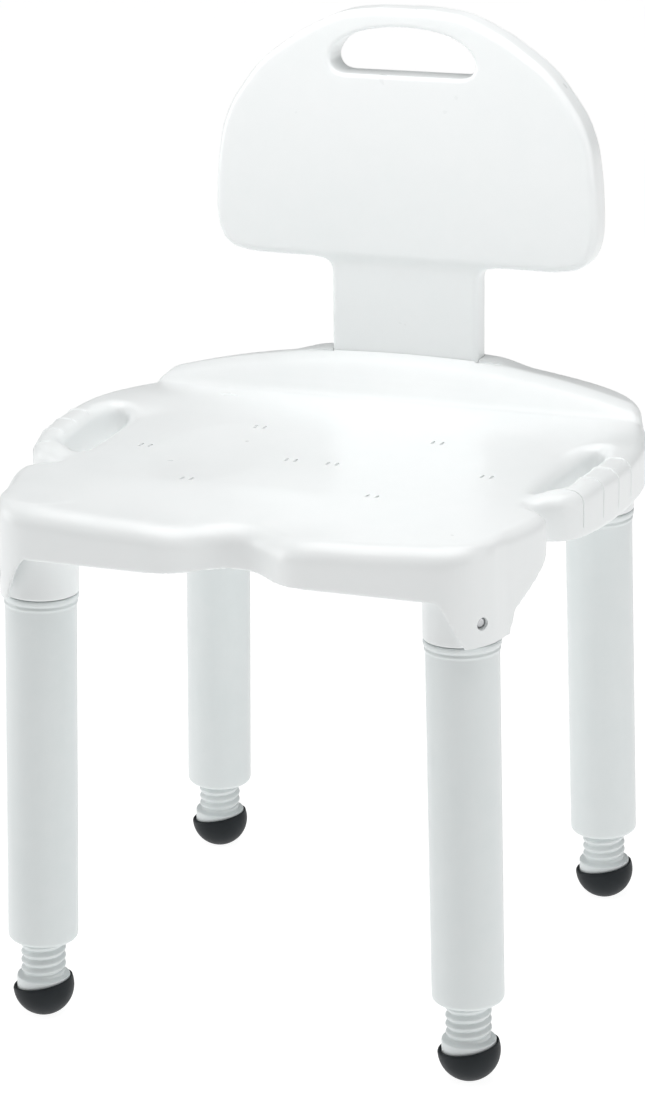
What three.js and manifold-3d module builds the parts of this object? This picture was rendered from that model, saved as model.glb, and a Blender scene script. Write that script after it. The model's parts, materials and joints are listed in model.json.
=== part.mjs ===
// Bath seat with a lift-off backrest and four screw-adjustable legs.
// Millimetres, +Z up, front towards -Y. The origin is on the floor, under the centre of the seat.

import * as THREE from 'three';
import { LoftGeometry } from 'three/addons/geometries/LoftGeometry.js';
import { mergeVertices } from 'three/addons/utils/BufferGeometryUtils.js';
import Module from 'manifold-3d';

const wasm = await Module();
wasm.setup();

// ---------------------------------------------------------------- driving dimensions

const WALL = 3.5;                  // moulded wall of the seat
const GAP = 0.3;                   // fit between pieces that touch
const ROUND_FIT = 0.7;             // fit between round pieces, whose sides are flats

// seat
const SEAT_TOP = 427;
const SKIRT_BOTTOM = 386;
const SEAT_FRONT = -217;
const SEAT_BACK = 217;
const EDGE_RADIUS = 9;
const FRONT_CORNER = 42;
const NOTCH_DEPTH = 30;            // of the hollow in the middle of the front edge
const CREASE_Y = 155;              // foot of the rear wall
const CREST_Y = 174;               // crest of the rear wall at the centre
const CREST_RISE = 27;             // height of the crest over the seat at the centre
const CREST_HALF = 232;            // where the crest's curve comes down to the seat
const SHOULDER_RISE = 4;           // the rear shoulder over the crest
const DISH_DEPTH = 2;              // each thigh dish
const DISH_X = 84;
const DISH_Y = -30;
const DISH_ELLIPSOID = { x: 190, y: 330, z: 60 };
const PAD_TOP = 462;               // raised pad round the backrest's slot
const PAD = { halfLength: 88, halfWidth: 17 };
const DRAIN = { halfWidth: 1.1, halfLength: 4, pitch: 7.6 };
const DRAIN_GROUPS = [[75, 49], [141, -29], [75, -103], [17, -32.5]];
const RIB = { thickness: 2.4, bottom: SKIRT_BOTTOM + 14, halfX: 150, frontY: -170, backY: 150 };
const RIB_X = [-120, -44, 44, 120];
const RIB_Y = [-72, 92];

// hand-hold bars, at the sides of the seat
const BAR_BOTTOM = 396;
const BAR_INNER_X = 183;
const SWELL = { x: 211, y: 15, z: 419, radiusX: 27, radiusY: 125, radiusZ: 14 };
const LOBE_FOOT = { y: -152, z: 366 };  // where a front lobe's lower edge meets its socket
const LOBE_END_Y = -106;

// legs
const FRONT_LEG = { y: -171.5, ringZ: 348 };
const REAR_LEG = { y: 183.5, ringZ: 343.5 };
const LEG_X = 168.5;
const SPLAY_X = 0.0236;            // outward lean of each leg, radians
const SPLAY_Y = 0.0187;
const SOCKET_RADIUS = 29;
const SPIGOT_RADIUS = 24.2;
const SPIGOT_LENGTH = 62;
const TUBE_RADIUS = 27.4;
const TUBE_LENGTH = 284;
const TUBE_WALL = 2.6;
const BEAD_DEPTH = 7.5;            // bead below the collar
const BUSH_LENGTH = 32;

// screw
const PITCH = 6.8;
const ROD_RADIUS = 16.3;
const THREAD_THROW = 1.3;          // half the depth of the round thread
const THREAD_LENGTH = 24 * PITCH;
const FLANGE_RADIUS = 20.8;
const FLANGE_BOTTOM = 20;          // heights over the floor, along the leg
const FLANGE_TOP = 32;

// rubber tip
const TIP_RADIUS = 24;
const TIP_CENTRE = 22.8;
const TIP_RIM = 27;
const TIP_LEAN = THREE.MathUtils.degToRad(11);

// snap button
const BUTTON_RADIUS = 3.9;
const BUTTON_HEIGHT = 19;          // over the end of the socket
const BUTTON_REACH = 29.4;         // face of the button from the leg's axis
const BUTTON_FLANGE = 20.2;        // inner shoulder that keeps the button in
const FLANGE_THICKNESS = 1.5;
const SPRING_GAUGE = 0.8;
const SPRING_WIDTH = 9;

// backrest
const BACK_FRONT = 180;
const BACK_THICKNESS = 32;
const BACK_HALF_WIDTH = 164;
const BACK_BOTTOM = 537;
const BACK_TOP = 745;
const NECK_FRONT = 184;
const NECK_THICKNESS = 24;
const NECK_HALF_WIDTH = 63.8;
const NECK_FLARE = 12;             // fillet where the neck meets the panel
const TONGUE_BOTTOM = 392;
const SLOT_FIT = 0.8;
const BACK_SKIN = 3;

// ---------------------------------------------------------------- materials

const finish = (color, roughness, metalness = 0) =>
  new THREE.MeshStandardMaterial({ color, roughness, metalness });
const whitePlastic = () => finish(0xf1f4f3, 0.32);
const legPlastic = () => finish(0xe3e9e9, 0.35);
const screwPlastic = () => finish(0xdfe6e5, 0.42);
const blackRubber = () => finish(0x23282b, 0.62);
const steel = () => finish(0xb9bdbf, 0.28, 1);

// ---------------------------------------------------------------- solids

// Turns a closed three.js geometry into a solid, whichever way its faces wind.
function solid(geometry, matrix = new THREE.Matrix4()) {
  const bare = new THREE.BufferGeometry();
  bare.setAttribute('position', geometry.getAttribute('position').clone());
  if (geometry.index) bare.setIndex(geometry.index.clone());
  bare.applyMatrix4(matrix);
  const merged = mergeVertices(bare, 1e-4);
  const vertProperties = new Float32Array(merged.getAttribute('position').array);
  const triVerts = new Uint32Array(merged.index.array);
  if (signedVolume(vertProperties, triVerts) < 0) {
    for (let i = 0; i < triVerts.length; i += 3) {
      [triVerts[i], triVerts[i + 1]] = [triVerts[i + 1], triVerts[i]];
    }
  }
  return new wasm.Manifold(new wasm.Mesh({ numProp: 3, vertProperties, triVerts }));
}

function signedVolume(positions, triangles) {
  const corner = (k) => new THREE.Vector3().fromArray(positions, 3 * triangles[k]);
  let volume = 0;
  for (let i = 0; i < triangles.length; i += 3) {
    volume += corner(i).dot(corner(i + 1).cross(corner(i + 2))) / 6;
  }
  return volume;
}

function meshOf(manifold) {
  const { vertProperties, triVerts } = manifold.getMesh();
  const geometry = new THREE.BufferGeometry();
  geometry.setAttribute('position', new THREE.BufferAttribute(vertProperties, 3));
  geometry.setIndex(new THREE.BufferAttribute(triVerts, 1));
  geometry.computeVertexNormals();
  return geometry;
}

const unite = (first, ...rest) => rest.reduce((sum, next) => sum.add(next), first);
const cut = (first, ...rest) => rest.reduce((left, next) => left.subtract(next), first);
const at = (x, y, z) => new THREE.Matrix4().makeTranslation(x, y, z);
const vectors = (pairs) => pairs.map(([x, y]) => new THREE.Vector2(x, y));

function box(x0, y0, z0, x1, y1, z1) {
  const block = new THREE.BoxGeometry(x1 - x0, y1 - y0, z1 - z0);
  return solid(block, at((x0 + x1) / 2, (y0 + y1) / 2, (z0 + z1) / 2));
}

// A body of revolution about Z from [radius, height] pairs.
const lathe = (profile, segments) =>
  new THREE.LatheGeometry(vectors(profile), segments).rotateX(Math.PI / 2);

const cylinder = (radius, bottom, top, segments = 24) =>
  solid(new THREE.CylinderGeometry(radius, radius, top - bottom, segments)
    .rotateX(Math.PI / 2).translate(0, 0, (top + bottom) / 2));

function prism(shape, bottom, top) {
  const options = { depth: top - bottom, bevelEnabled: false, curveSegments: 5 };
  return solid(new THREE.ExtrudeGeometry(shape, options), at(0, 0, bottom));
}

// A solid and its mirror image in the centre plane.
const bothSides = (part) => [part, part.mirror([1, 0, 0])];

const slotShape = (halfLength, halfWidth) => {
  const shape = new THREE.Shape();
  shape.absarc(halfLength - halfWidth, 0, halfWidth, -Math.PI / 2, Math.PI / 2);
  shape.absarc(halfWidth - halfLength, 0, halfWidth, Math.PI / 2, 1.5 * Math.PI);
  return shape;
};

// ---------------------------------------------------------------- seat outline

// The right half of the seat's edge, from the front notch round to the back.
function halfOutline() {
  const notchY = SEAT_FRONT + NOTCH_DEPTH;
  const cornerY = SEAT_FRONT + FRONT_CORNER;
  const edge = new THREE.Path();
  edge.moveTo(0, notchY);
  edge.bezierCurveTo(24, notchY, 30, SEAT_FRONT, 60, SEAT_FRONT);
  edge.lineTo(155, SEAT_FRONT);
  edge.absarc(155, cornerY, FRONT_CORNER, -Math.PI / 2, 0);
  edge.splineThru(vectors([[203, -150], [211, -125], [212, LOBE_END_Y], [205, -97]]));
  edge.splineThru(vectors([[196, -90], [194, -84], [203, -78], [216, -72], [225, -60], [231, -40]]));
  edge.splineThru(vectors([[236, -10], [238.5, 30], [237.5, 65], [233, 100], [224, 134], [209, 168]]));
  edge.quadraticCurveTo(199, SEAT_BACK, 148, SEAT_BACK);
  edge.lineTo(0, SEAT_BACK);
  return edge.getPoints(4).filter((p, i, all) => i === 0 || p.distanceTo(all[i - 1]) > 1);
}

const mirrored = (half) => [
  ...half,
  ...half.slice(1, -1).reverse().map((p) => new THREE.Vector2(-p.x, p.y)),
];

// Moves each point of a closed outline inwards along its own normal.
function insetBy(points, distance) {
  const count = points.length;
  return points.map((point, i) => {
    const before = points[(i + count - 1) % count];
    const after = points[(i + 1) % count];
    const along = after.clone().sub(before).normalize();
    return new THREE.Vector2(point.x - along.y * distance, point.y + along.x * distance);
  });
}

const OUTLINE = mirrored(halfOutline());

const outlineShape = (inset) => new THREE.Shape(insetBy(OUTLINE, inset));

// A slab of the outline with a rounded top edge.
function slab(inset, bottom, top, radius) {
  const rings = [[0, bottom], [0, top - radius], [0.3, top - 0.3 * radius], [1, top]];
  const sections = rings.map(([share, z]) =>
    insetBy(OUTLINE, inset + share * radius).map((p) => new THREE.Vector3(p.x, p.y, z)));
  return solid(new LoftGeometry(sections, { capStart: true, capEnd: true }));
}

// ---------------------------------------------------------------- rear wall and shoulder

const crestShare = (x) => Math.max(0, 1 - (x / CREST_HALF) ** 2);

// One upright section of the rear riser, at distance x from the centre.
function riserSection(x, inset) {
  const share = crestShare(x);
  const crestZ = SEAT_TOP + CREST_RISE * share - inset;
  const shoulderZ = crestZ + SHOULDER_RISE * Math.sqrt(share);
  const footY = CREASE_Y + inset;
  const crestY = footY + (CREST_Y - CREASE_Y) * share;
  const backY = SEAT_BACK - inset;
  const low = SEAT_TOP - EDGE_RADIUS - inset - 4;
  return [
    [footY, low], [footY, SEAT_TOP - inset], [crestY, crestZ - 1.5], [crestY + 4, crestZ + 0.6],
    [crestY + 12, shoulderZ], [backY - 9, shoulderZ - 0.5], [backY - 2.6, shoulderZ - 3],
    [backY, shoulderZ - 9 * share - 0.5], [backY, low],
  ].reverse().map(([y, z]) => new THREE.Vector3(x, y, z));
}

function riser(inset) {
  const reach = CREST_HALF - 6;
  const stations = 15;
  const sections = [];
  for (let i = 0; i < stations; i++) {
    sections.push(riserSection(THREE.MathUtils.lerp(-reach, reach, i / (stations - 1)), inset));
  }
  const whole = solid(new LoftGeometry(sections, { capStart: true, capEnd: true }));
  return whole.intersect(prism(outlineShape(inset), SKIRT_BOTTOM, PAD_TOP + 10));
}

// ---------------------------------------------------------------- seat shell

const SLOT_CENTRE_Y = NECK_FRONT + NECK_THICKNESS / 2;

const legFrame = (sideX, sideY, leg) =>
  new THREE.Matrix4()
    .makeRotationFromEuler(new THREE.Euler(sideY * SPLAY_Y, -sideX * SPLAY_X, 0))
    .setPosition(sideX * LEG_X, leg.y, leg.ringZ);

const CORNERS = [
  { name: 'front_left', x: -1, y: -1, leg: FRONT_LEG },
  { name: 'front_right', x: 1, y: -1, leg: FRONT_LEG },
  { name: 'rear_left', x: -1, y: 1, leg: REAR_LEG },
  { name: 'rear_right', x: 1, y: 1, leg: REAR_LEG },
];

const latchAngle = (corner) => Math.atan2(corner.y, corner.x);

// A slab with its two thigh dishes, shallow caps of a large ellipsoid.
function dishedSlab(inset, bottom, top, radius) {
  const depth = DISH_ELLIPSOID.z;
  const dish = new THREE.SphereGeometry(1, 24, 18).rotateX(Math.PI / 2);
  dish.scale(DISH_ELLIPSOID.x, DISH_ELLIPSOID.y, depth);
  const dishes = [-1, 1].map((side) => solid(dish, at(side * DISH_X, DISH_Y, top + depth - DISH_DEPTH)));
  return cut(slab(inset, bottom, top, radius), ...dishes);
}

function handHoldShape(margin) {
  const rim = vectors([
    [189, -52], [200, -50], [207, -42], [209, -26], [212, 7], [214, 36],
    [210, 56], [201, 62], [192, 52], [188, 23], [187, 1], [187, -28],
  ]);
  return new THREE.Shape(insetBy(rim, -margin));
}

// Drain slots: pairs of short slots set in a diamond on each thigh dish.
function drains() {
  const { halfWidth: w, halfLength: l, pitch } = DRAIN;
  const slot = vectors([[-w, 1 - l], [0, -l], [w, 1 - l], [w, l - 1], [0, l], [-w, l - 1]]);
  return DRAIN_GROUPS.flatMap(([x, y]) => [-pitch / 2, pitch / 2].flatMap((offset) => {
    const shape = new THREE.Shape(slot.map((p) => new THREE.Vector2(p.x + x + offset, p.y + y)));
    return bothSides(prism(shape, SEAT_TOP - 25, SEAT_TOP + 5));
  }));
}

// A profile drawn in Y and Z, run sideways from X = inner out past the seat's edge.
function sideways(profile, inner) {
  const yzx = new THREE.Matrix4().makeBasis(
    new THREE.Vector3(0, 1, 0), new THREE.Vector3(0, 0, 1), new THREE.Vector3(1, 0, 0));
  return prism(new THREE.Shape(profile), inner, 250).transform(yzx.elements);
}

// The skirt that carries a front lobe's overhang down to its socket.
function lobeWeb() {
  const skirt = cut(prism(outlineShape(0), LOBE_FOOT.z, BAR_BOTTOM),
    prism(outlineShape(WALL), LOBE_FOOT.z - 1, BAR_BOTTOM + 1));
  const side = sideways(vectors([
    [LOBE_FOOT.y - 24, LOBE_FOOT.z], [LOBE_FOOT.y, LOBE_FOOT.z],
    [LOBE_END_Y, BAR_BOTTOM], [LOBE_FOOT.y - 24, BAR_BOTTOM],
  ]), BAR_INNER_X);
  return skirt.intersect(side);
}

// What is cut away under a bar, whose lower edge is higher than the skirt.
const barRelief = () => sideways(vectors([
  [LOBE_FOOT.y, LOBE_FOOT.z], [LOBE_FOOT.y, LOBE_FOOT.z - 10],
  [RIB.backY, LOBE_FOOT.z - 10], [RIB.backY, BAR_BOTTOM], [LOBE_END_Y, BAR_BOTTOM],
]), BAR_INNER_X);

// The rounded swell along the top of a bar.
function barSwell() {
  const dome = new THREE.SphereGeometry(1, 24, 14).rotateX(Math.PI / 2);
  dome.scale(SWELL.radiusX, SWELL.radiusY, SWELL.radiusZ);
  const edge = prism(outlineShape(0.3 * EDGE_RADIUS), SEAT_TOP - EDGE_RADIUS, SEAT_TOP + 20);
  return solid(dome, at(SWELL.x, SWELL.y, SWELL.z)).intersect(edge);
}

// Moulded ribs under the seat, rooted halfway into the top and ending short of the skirt.
function ribs() {
  const rooted = dishedSlab(WALL / 2, SKIRT_BOTTOM, SEAT_TOP - WALL / 2, EDGE_RADIUS - 1);
  const half = RIB.thickness / 2;
  const lengthways = RIB_X.map((x) =>
    box(x - half, RIB.frontY, RIB.bottom, x + half, RIB.backY, SEAT_TOP));
  const crossways = RIB_Y.map((y) =>
    box(-RIB.halfX, y - half, RIB.bottom, RIB.halfX, y + half, SEAT_TOP));
  return unite(...lengthways, ...crossways).intersect(rooted);
}

function backrestSleeve() {
  const halfX = NECK_HALF_WIDTH + 1 + WALL;
  const halfY = NECK_THICKNESS / 2 + 1 + WALL;
  return box(-halfX, SLOT_CENTRE_Y - halfY, SKIRT_BOTTOM, halfX, SLOT_CENTRE_Y + halfY, PAD_TOP - 8);
}

// A round post or bore along a leg's axis, with heights over the socket's end.
function alongLeg(corner, radius, bottom, top) {
  const frame = legFrame(corner.x, corner.y, corner.leg);
  return cylinder(radius, bottom, top, 20).transform(frame.elements);
}

// A round hole for a corner's button, centred at a distance from the leg's axis.
function buttonHole(corner, radius, centre, depth) {
  return new THREE.CylinderGeometry(radius, radius, depth, 12)
    .rotateZ(Math.PI / 2)
    .translate(centre, 0, BUTTON_HEIGHT)
    .rotateZ(latchAngle(corner));
}

function backrestSlot() {
  const halfX = NECK_HALF_WIDTH + SLOT_FIT;
  const halfY = NECK_THICKNESS / 2 + SLOT_FIT;
  return box(-halfX, SLOT_CENTRE_Y - halfY, SKIRT_BOTTOM + 3, halfX, SLOT_CENTRE_Y + halfY, PAD_TOP + 5);
}

function seatShell() {
  const cavity = dishedSlab(WALL, SKIRT_BOTTOM - 10, SEAT_TOP - WALL, EDGE_RADIUS - 2).add(riser(WALL));
  const pad = prism(slotShape(PAD.halfLength, PAD.halfWidth), SEAT_TOP, PAD_TOP)
    .translate([0, SLOT_CENTRE_Y, 0]);
  const skin = unite(
    dishedSlab(0, SKIRT_BOTTOM, SEAT_TOP, EDGE_RADIUS), riser(0), pad, ...bothSides(barSwell()));
  const edged = cut(cut(skin, cavity).add(unite(...bothSides(lobeWeb()))), ...bothSides(barRelief()));

  const sockets = CORNERS.map((corner) =>
    alongLeg(corner, SOCKET_RADIUS, 0, SEAT_TOP - WALL - corner.leg.ringZ));
  const wells = bothSides(prism(handHoldShape(WALL), BAR_BOTTOM, SEAT_TOP - 3));
  const shell = unite(edged, ...sockets, ...wells, backrestSleeve(), ribs());

  const bores = CORNERS.map((corner) =>
    alongLeg(corner, SPIGOT_RADIUS + ROUND_FIT, -1, SPIGOT_LENGTH + 4));
  const buttonHoles = CORNERS.map((corner) => {
    const hole = buttonHole(corner, BUTTON_RADIUS + 0.4, SOCKET_RADIUS, 14);
    return solid(hole, legFrame(corner.x, corner.y, corner.leg));
  });
  const openings = bothSides(prism(handHoldShape(0), SKIRT_BOTTOM - 5, SEAT_TOP + 10));
  return meshOf(cut(shell, ...bores, ...buttonHoles, ...openings, backrestSlot(), ...drains()));
}

// ---------------------------------------------------------------- backrest

// The half-round panel: two big upper quadrants over a straight foot with rounded corners.
function panelShape() {
  const w = BACK_HALF_WIDTH;
  const corner = 44;
  const shape = new THREE.Shape();
  shape.moveTo(-w + corner, BACK_BOTTOM);
  shape.lineTo(w - corner, BACK_BOTTOM);
  shape.bezierCurveTo(w - 14, BACK_BOTTOM, w, BACK_BOTTOM + 16, w, BACK_BOTTOM + 46);
  shape.bezierCurveTo(w + 1, BACK_BOTTOM + 118, w - 54, BACK_TOP, 24, BACK_TOP);
  shape.lineTo(-24, BACK_TOP);
  shape.bezierCurveTo(54 - w, BACK_TOP, -w - 1, BACK_BOTTOM + 118, -w, BACK_BOTTOM + 46);
  shape.bezierCurveTo(-w, BACK_BOTTOM + 16, 14 - w, BACK_BOTTOM, -w + corner, BACK_BOTTOM);
  return shape;
}

function gripShape() {
  const shape = new THREE.Shape();
  shape.moveTo(-50, 692);
  shape.lineTo(50, 692);
  shape.quadraticCurveTo(63, 693, 63, 704);
  shape.bezierCurveTo(60, 722, 30, 730, 0, 730);
  shape.bezierCurveTo(-30, 730, -60, 722, -63, 704);
  shape.quadraticCurveTo(-63, 693, -50, 692);
  return shape;
}

// Stands a shape drawn in X and Z upright between two Y planes.
function upright(shape, frontY, thickness, bevel, curveSegments) {
  const geometry = new THREE.ExtrudeGeometry(shape, {
    depth: thickness - 2 * bevel,
    bevelEnabled: bevel > 0,
    bevelSize: bevel,
    bevelThickness: bevel,
    bevelOffset: -bevel,
    bevelSegments: 3,
    curveSegments,
  });
  return solid(geometry.rotateX(Math.PI / 2), at(0, frontY + thickness - bevel, 0));
}

function backrest() {
  const halfWidth = NECK_HALF_WIDTH;
  const flared = NECK_HALF_WIDTH + NECK_FLARE;
  const filletFoot = BACK_BOTTOM - NECK_FLARE + 3;
  const neck = new THREE.Shape();
  neck.moveTo(-halfWidth, TONGUE_BOTTOM);
  neck.lineTo(halfWidth, TONGUE_BOTTOM);
  neck.lineTo(halfWidth, filletFoot);
  neck.quadraticCurveTo(halfWidth, BACK_BOTTOM + 2, flared, BACK_BOTTOM + 3);
  neck.lineTo(flared, BACK_BOTTOM + 30);
  neck.lineTo(-flared, BACK_BOTTOM + 30);
  neck.lineTo(-flared, BACK_BOTTOM + 3);
  neck.quadraticCurveTo(-halfWidth, BACK_BOTTOM + 2, -halfWidth, filletFoot);
  neck.lineTo(-halfWidth, TONGUE_BOTTOM);

  const panel = upright(panelShape(), BACK_FRONT, BACK_THICKNESS, 7, 7);
  const stem = upright(neck, NECK_FRONT, NECK_THICKNESS, 5, 3);
  const grip = upright(gripShape(), BACK_FRONT - 5, BACK_THICKNESS + 10, 0, 6);
  const hollowPanel = box(
    -130, BACK_FRONT + BACK_SKIN, BACK_BOTTOM + 14,
    130, BACK_FRONT + BACK_THICKNESS - BACK_SKIN, 680);
  const hollowStem = box(
    5 - halfWidth, NECK_FRONT + BACK_SKIN, TONGUE_BOTTOM - 5,
    halfWidth - 5, NECK_FRONT + NECK_THICKNESS - BACK_SKIN, BACK_BOTTOM + 20);
  return meshOf(cut(panel.add(stem), grip, hollowPanel, hollowStem));
}

// ---------------------------------------------------------------- leg pieces, below the socket's end

function legTube() {
  const inner = TUBE_RADIUS - TUBE_WALL;
  const end = -TUBE_LENGTH;
  return lathe([
    [SPIGOT_RADIUS - 2.7, SPIGOT_LENGTH], [SPIGOT_RADIUS, SPIGOT_LENGTH], [SPIGOT_RADIUS, 0.1 - GAP],
    [SOCKET_RADIUS, 0.1 - GAP], [SOCKET_RADIUS, -4], [TUBE_RADIUS, -4.6],
    [TUBE_RADIUS, 1.6 - BEAD_DEPTH], [TUBE_RADIUS + 0.9, -BEAD_DEPTH], [TUBE_RADIUS, -1.6 - BEAD_DEPTH],
    [TUBE_RADIUS, end + 5], [TUBE_RADIUS - 1, end + 1.4], [TUBE_RADIUS - 3, end],
    [inner - 1.6, end], [inner - 1.6, end + 1.5], [inner, end + 1.6],
    [inner, -12], [SPIGOT_RADIUS - 2.7, -6], [SPIGOT_RADIUS - 2.7, SPIGOT_LENGTH],
  ], 20);
}

function legTubeWithHole(corner) {
  const hole = buttonHole(corner, BUTTON_RADIUS + 0.3, SPIGOT_RADIUS, 12);
  return meshOf(cut(solid(legTube()), solid(hole)));
}

function threadedBush() {
  const outer = TUBE_RADIUS - TUBE_WALL - ROUND_FIT;
  const bore = ROD_RADIUS + THREAD_THROW + 0.5;
  const bottom = 1.9 - TUBE_LENGTH;
  return lathe([[bore, bottom], [outer, bottom], [outer, bottom + BUSH_LENGTH],
    [bore, bottom + BUSH_LENGTH], [bore, bottom]], 16);
}

// A round thread: a round bar whose centre winds about the axis once each pitch.
function screwRod() {
  const bar = new THREE.Shape().absarc(0, 0, ROD_RADIUS, 0, 2 * Math.PI);
  const rod = new THREE.ExtrudeGeometry(bar, {
    depth: THREAD_LENGTH,
    steps: Math.round(4 * THREAD_LENGTH / PITCH),
    curveSegments: 4,
    bevelEnabled: false,
  });
  const position = rod.getAttribute('position');
  for (let i = 0; i < position.count; i++) {
    const turn = 2 * Math.PI * position.getZ(i) / PITCH;
    position.setX(i, position.getX(i) + THREAD_THROW * Math.cos(turn));
    position.setY(i, position.getY(i) + THREAD_THROW * Math.sin(turn));
  }
  return solid(rod);
}

function legExtension(floorZ) {
  const flange = solid(lathe([
    [0, FLANGE_BOTTOM], [FLANGE_RADIUS - 3, FLANGE_BOTTOM], [FLANGE_RADIUS, FLANGE_BOTTOM + 3],
    [FLANGE_RADIUS, FLANGE_TOP - 3], [FLANGE_RADIUS - 2, FLANGE_TOP], [0, FLANGE_TOP],
  ], 18));
  const rod = screwRod().translate([0, 0, FLANGE_TOP - 1]);
  const well = cylinder(ROD_RADIUS - 4.5, FLANGE_TOP + 6, FLANGE_TOP + THREAD_LENGTH + 5, 8);
  return meshOf(cut(flange.add(rod), well).translate([0, 0, floorZ]));
}

function footTip() {
  const flatRadius = Math.sqrt(TIP_RADIUS ** 2 - TIP_CENTRE ** 2);
  const profile = [[0, 0]];
  const start = Math.atan2(-TIP_CENTRE, flatRadius);
  const steps = 6;
  for (let i = 0; i <= steps; i++) {
    const angle = THREE.MathUtils.lerp(start, 0.45, i / steps);
    profile.push([TIP_RADIUS * Math.cos(angle), TIP_CENTRE + TIP_RADIUS * Math.sin(angle)]);
  }
  profile.push([0, profile.at(-1)[1]]);
  const pocket = cylinder(FLANGE_RADIUS + ROUND_FIT, FLANGE_BOTTOM - GAP - 1, TIP_CENTRE + TIP_RADIUS, 18);
  const above = new THREE.BoxGeometry(80, 80, 40).translate(0, 0, 20).rotateY(-TIP_LEAN);
  return meshOf(cut(solid(lathe(profile, 18)), pocket, solid(above, at(0, 0, TIP_RIM))));
}

// Drawn along +X, pointing out of the leg.
function snapButton() {
  const inner = BUTTON_FLANGE - FLANGE_THICKNESS;
  const flangeRadius = BUTTON_RADIUS + 2;
  const profile = [
    [0, inner], [flangeRadius, inner], [flangeRadius, BUTTON_FLANGE], [BUTTON_RADIUS, BUTTON_FLANGE],
    [BUTTON_RADIUS, BUTTON_REACH - 1.2], [BUTTON_RADIUS - 1.4, BUTTON_REACH], [0, BUTTON_REACH],
  ];
  return lathe(profile, 14).rotateY(Math.PI / 2);
}

// A bent steel strip that pushes the button out, braced on the far wall of the spigot.
function buttonSpring() {
  const near = BUTTON_FLANGE - FLANGE_THICKNESS - SPRING_GAUGE;
  const far = SPIGOT_RADIUS - 2.7 - SPRING_GAUGE;
  const bends = [
    [near, 7], [near, -2], [10, -20], [-4, -27], [-16, -20], [0.6 - far, -4], [0.4 - far, 7],
  ];
  const path = new THREE.CatmullRomCurve3(bends.map(([x, z]) => new THREE.Vector3(x, 0, z)));
  const w = SPRING_WIDTH / 2;
  const t = SPRING_GAUGE / 2;
  const strip = new THREE.Shape(vectors([[-w, -t], [w, -t], [w, t], [-w, t]]));
  return new THREE.ExtrudeGeometry(strip, { steps: 14, extrudePath: path, bevelEnabled: false });
}

// ---------------------------------------------------------------- assembly

const group = new THREE.Group();

function addMesh(parent, name, geometry, material) {
  const mesh = new THREE.Mesh(geometry, material);
  mesh.name = name;
  parent.add(mesh);
  return mesh;
}

// Where a leg's axis passes a given height over the floor.
function onLegAxis(corner, height) {
  const frame = legFrame(corner.x, corner.y, corner.leg);
  const top = new THREE.Vector3().setFromMatrixPosition(frame);
  const along = new THREE.Vector3(0, 0, -1).transformDirection(frame);
  return top.addScaledVector(along, (height - top.z) / along.z);
}

function addLeg(corner) {
  const leg = new THREE.Group();
  leg.position.set(corner.x * LEG_X, corner.leg.y, corner.leg.ringZ);
  leg.rotation.set(corner.y * SPLAY_Y, -corner.x * SPLAY_X, 0);
  group.add(leg);
  addMesh(leg, `${corner.name}_leg_tube`, legTubeWithHole(corner), legPlastic());
  addMesh(leg, `${corner.name}_threaded_bush`, threadedBush(), screwPlastic());
  const foot = onLegAxis(corner, 0);
  const reach = foot.distanceTo(leg.position);
  addMesh(leg, `${corner.name}_leg_extension`, legExtension(-reach), screwPlastic());

  const latch = new THREE.Group();
  latch.rotation.z = latchAngle(corner);
  latch.position.z = BUTTON_HEIGHT;
  leg.add(latch);
  addMesh(latch, `${corner.name}_snap_button`, snapButton(), steel());
  addMesh(latch, `${corner.name}_button_spring`, buttonSpring(), steel());

  const tip = addMesh(group, `${corner.name}_foot_tip`, footTip(), blackRubber());
  tip.position.copy(onLegAxis(corner, TIP_CENTRE)).setZ(0);
}

addMesh(group, 'seat_shell', seatShell(), whitePlastic());
addMesh(group, 'backrest', backrest(), whitePlastic());
CORNERS.forEach(addLeg);

export default group;
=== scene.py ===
"""Looks of the bath seat: moulded seat shell, lift-off backrest and four screw-adjusted legs.

Shapes are worked out in millimetres in the part's own frame and scaled to metres when a mesh is made.
"""

import json
import math

import bmesh
import bpy
import numpy as np
import openvdb
from mathutils import Matrix, Vector


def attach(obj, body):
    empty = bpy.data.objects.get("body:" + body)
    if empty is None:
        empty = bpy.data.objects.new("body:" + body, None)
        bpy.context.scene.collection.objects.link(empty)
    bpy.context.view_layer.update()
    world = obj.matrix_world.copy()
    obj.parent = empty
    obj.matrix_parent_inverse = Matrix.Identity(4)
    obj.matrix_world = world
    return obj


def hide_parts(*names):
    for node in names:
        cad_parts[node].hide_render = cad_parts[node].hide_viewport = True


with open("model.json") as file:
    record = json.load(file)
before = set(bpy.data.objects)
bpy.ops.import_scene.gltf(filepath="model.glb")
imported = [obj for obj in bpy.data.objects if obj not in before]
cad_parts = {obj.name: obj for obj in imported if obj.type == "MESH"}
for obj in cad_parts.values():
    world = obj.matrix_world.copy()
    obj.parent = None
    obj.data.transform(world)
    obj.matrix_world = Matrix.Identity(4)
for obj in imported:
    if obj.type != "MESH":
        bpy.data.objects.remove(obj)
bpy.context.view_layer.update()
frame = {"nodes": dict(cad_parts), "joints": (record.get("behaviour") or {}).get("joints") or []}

MM = 0.001

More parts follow.
